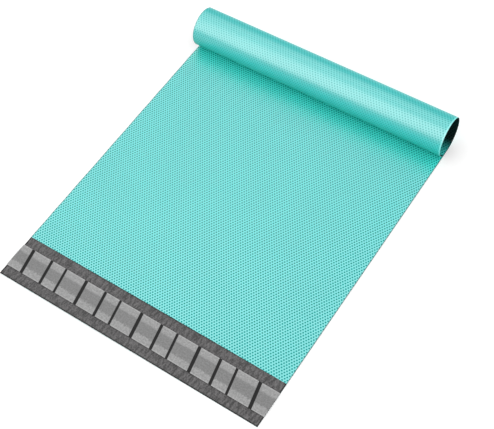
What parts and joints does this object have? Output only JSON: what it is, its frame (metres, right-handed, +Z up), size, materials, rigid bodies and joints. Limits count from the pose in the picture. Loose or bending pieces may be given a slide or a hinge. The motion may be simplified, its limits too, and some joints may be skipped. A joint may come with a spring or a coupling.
{
  "type": "poly mailer bag",
  "caption": "Empty self-seal film mailer lying flat, mouth open, flap with adhesive strip and release liner, closed end curled over into a loose open roll.",
  "frame": {"origin": "middle of the bag's footprint, on the surface it lies on", "axes": "+X across the bag, +Y from the flap towards the curled closed end, +Z up"},
  "size_m": [0.25, 0.3088, 0.0337],
  "materials": {
    "film": "satin teal polyethylene film with a fine all-over dot pattern outside, dark grey inside",
    "adhesive": "clear pale amber hot-melt adhesive, tacky, under the liner",
    "liner": "smooth light grey siliconised film with plain darker bars"
  },
  "bodies": {
    "root": {"bag_film": "film", "adhesive_strip": "adhesive", "release_liner": "liner"}
  },
  "joints": []
}
